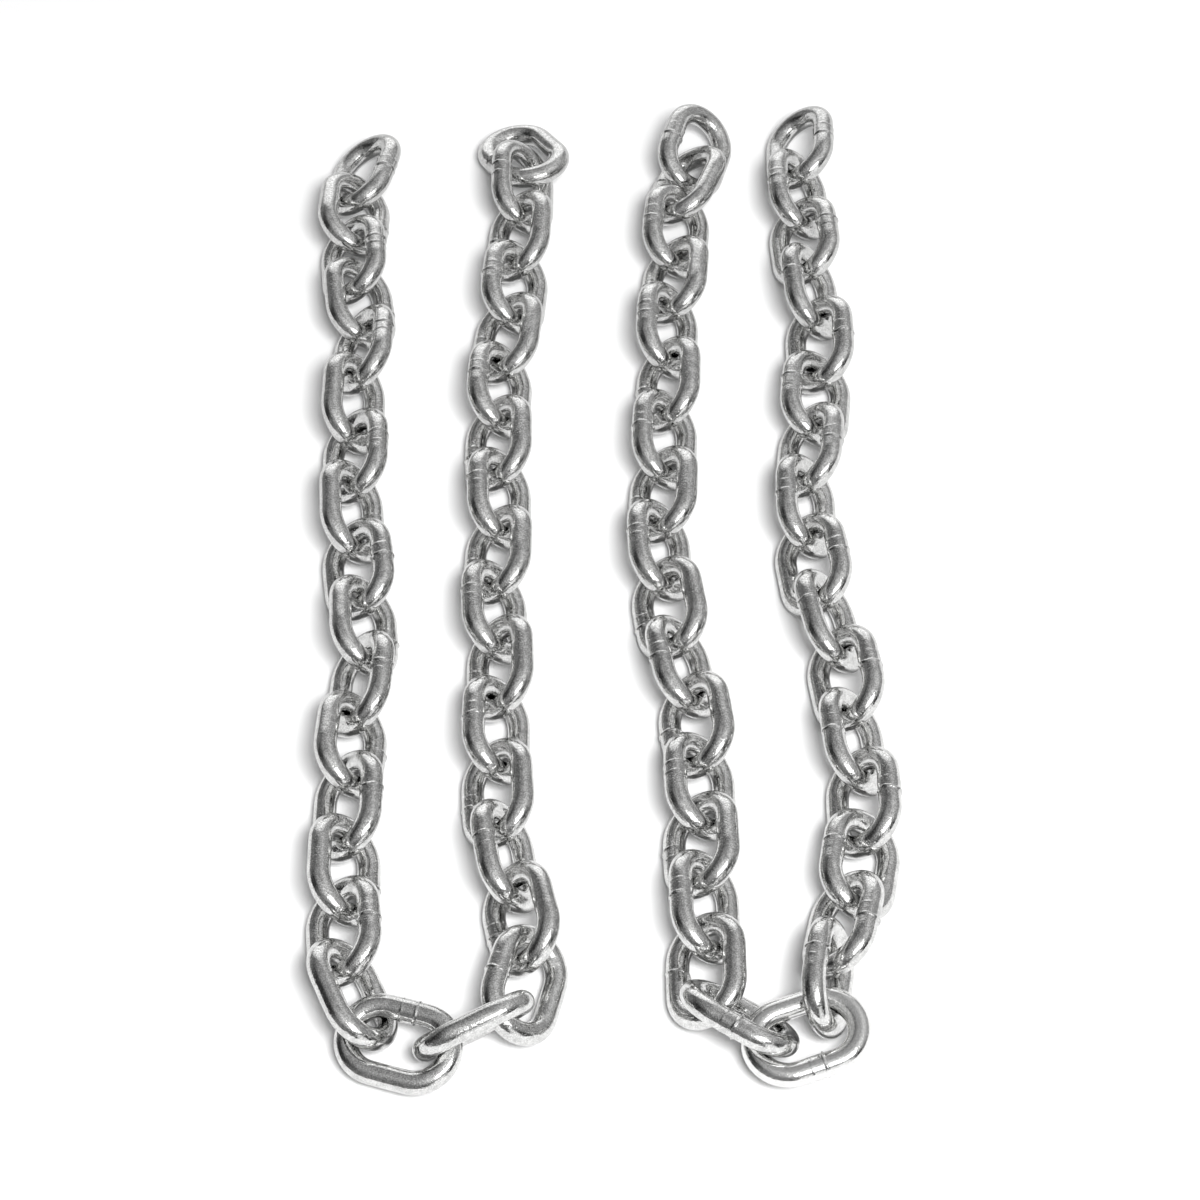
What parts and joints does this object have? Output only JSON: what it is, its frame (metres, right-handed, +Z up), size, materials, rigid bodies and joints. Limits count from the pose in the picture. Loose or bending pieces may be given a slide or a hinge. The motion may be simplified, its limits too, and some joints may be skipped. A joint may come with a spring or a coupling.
{
  "type": "laid welded chain",
  "caption": "Two lengths of welded zinc-plated steel chain with open round-bar links, each laid on the floor in a long U that is open at the far end.",
  "frame": {"origin": "on the floor, under the middle of both lengths of chain", "axes": "+Z up; +Y towards the open ends of both U shapes; +X to the right, from the left length of chain to the right one"},
  "size_m": [0.2652, 0.5544, 0.0385],
  "materials": {
    "zinc_plated_steel": "bright zinc plate on steel, fine grain"
  },
  "bodies": {
    "root": {"left_chain_link_01": "zinc_plated_steel", "left_chain_link_02": "zinc_plated_steel", "left_chain_link_03": "zinc_plated_steel", "left_chain_link_04": "zinc_plated_steel", "left_chain_link_07": "zinc_plated_steel", "left_chain_link_08": "zinc_plated_steel", "left_chain_link_09": "zinc_plated_steel", "left_chain_link_10": "zinc_plated_steel", "left_chain_link_13": "zinc_plated_steel", "left_chain_link_14": "zinc_plated_steel", "left_chain_link_15": "zinc_plated_steel", "left_chain_link_16": "zinc_plated_steel", "left_chain_link_17": "zinc_plated_steel", "left_chain_link_18": "zinc_plated_steel", "left_chain_link_19": "zinc_plated_steel", "left_chain_link_20": "zinc_plated_steel", "left_chain_link_21": "zinc_plated_steel", "left_chain_link_22": "zinc_plated_steel", "left_chain_link_25": "zinc_plated_steel", "left_chain_link_26": "zinc_plated_steel", "left_chain_link_27": "zinc_plated_steel", "left_chain_link_28": "zinc_plated_steel", "left_chain_link_31": "zinc_plated_steel", "left_chain_link_32": "zinc_plated_steel", "left_chain_link_33": "zinc_plated_steel", "left_chain_link_34": "zinc_plated_steel", "left_chain_links_05_06": "zinc_plated_steel", "left_chain_links_11_12": "zinc_plated_steel", "left_chain_links_23_24": "zinc_plated_steel", "left_chain_links_29_30": "zinc_plated_steel", "right_chain_link_01": "zinc_plated_steel", "right_chain_link_02": "zinc_plated_steel", "right_chain_link_03": "zinc_plated_steel", "right_chain_link_04": "zinc_plated_steel", "right_chain_link_07": "zinc_plated_steel", "right_chain_link_08": "zinc_plated_steel", "right_chain_link_09": "zinc_plated_steel", "right_chain_link_10": "zinc_plated_steel", "right_chain_link_13": "zinc_plated_steel", "right_chain_link_14": "zinc_plated_steel", "right_chain_link_15": "zinc_plated_steel", "right_chain_link_16": "zinc_plated_steel", "right_chain_link_17": "zinc_plated_steel", "right_chain_link_18": "zinc_plated_steel", "right_chain_link_19": "zinc_plated_steel", "right_chain_link_20": "zinc_plated_steel", "right_chain_link_21": "zinc_plated_steel", "right_chain_link_22": "zinc_plated_steel", "right_chain_link_25": "zinc_plated_steel", "right_chain_link_26": "zinc_plated_steel", "right_chain_link_27": "zinc_plated_steel", "right_chain_link_28": "zinc_plated_steel", "right_chain_link_31": "zinc_plated_steel", "right_chain_link_32": "zinc_plated_steel", "right_chain_link_33": "zinc_plated_steel", "right_chain_link_34": "zinc_plated_steel", "right_chain_links_05_06": "zinc_plated_steel", "right_chain_links_11_12": "zinc_plated_steel", "right_chain_links_23_24": "zinc_plated_steel", "right_chain_links_29_30": "zinc_plated_steel"}
  },
  "joints": []
}
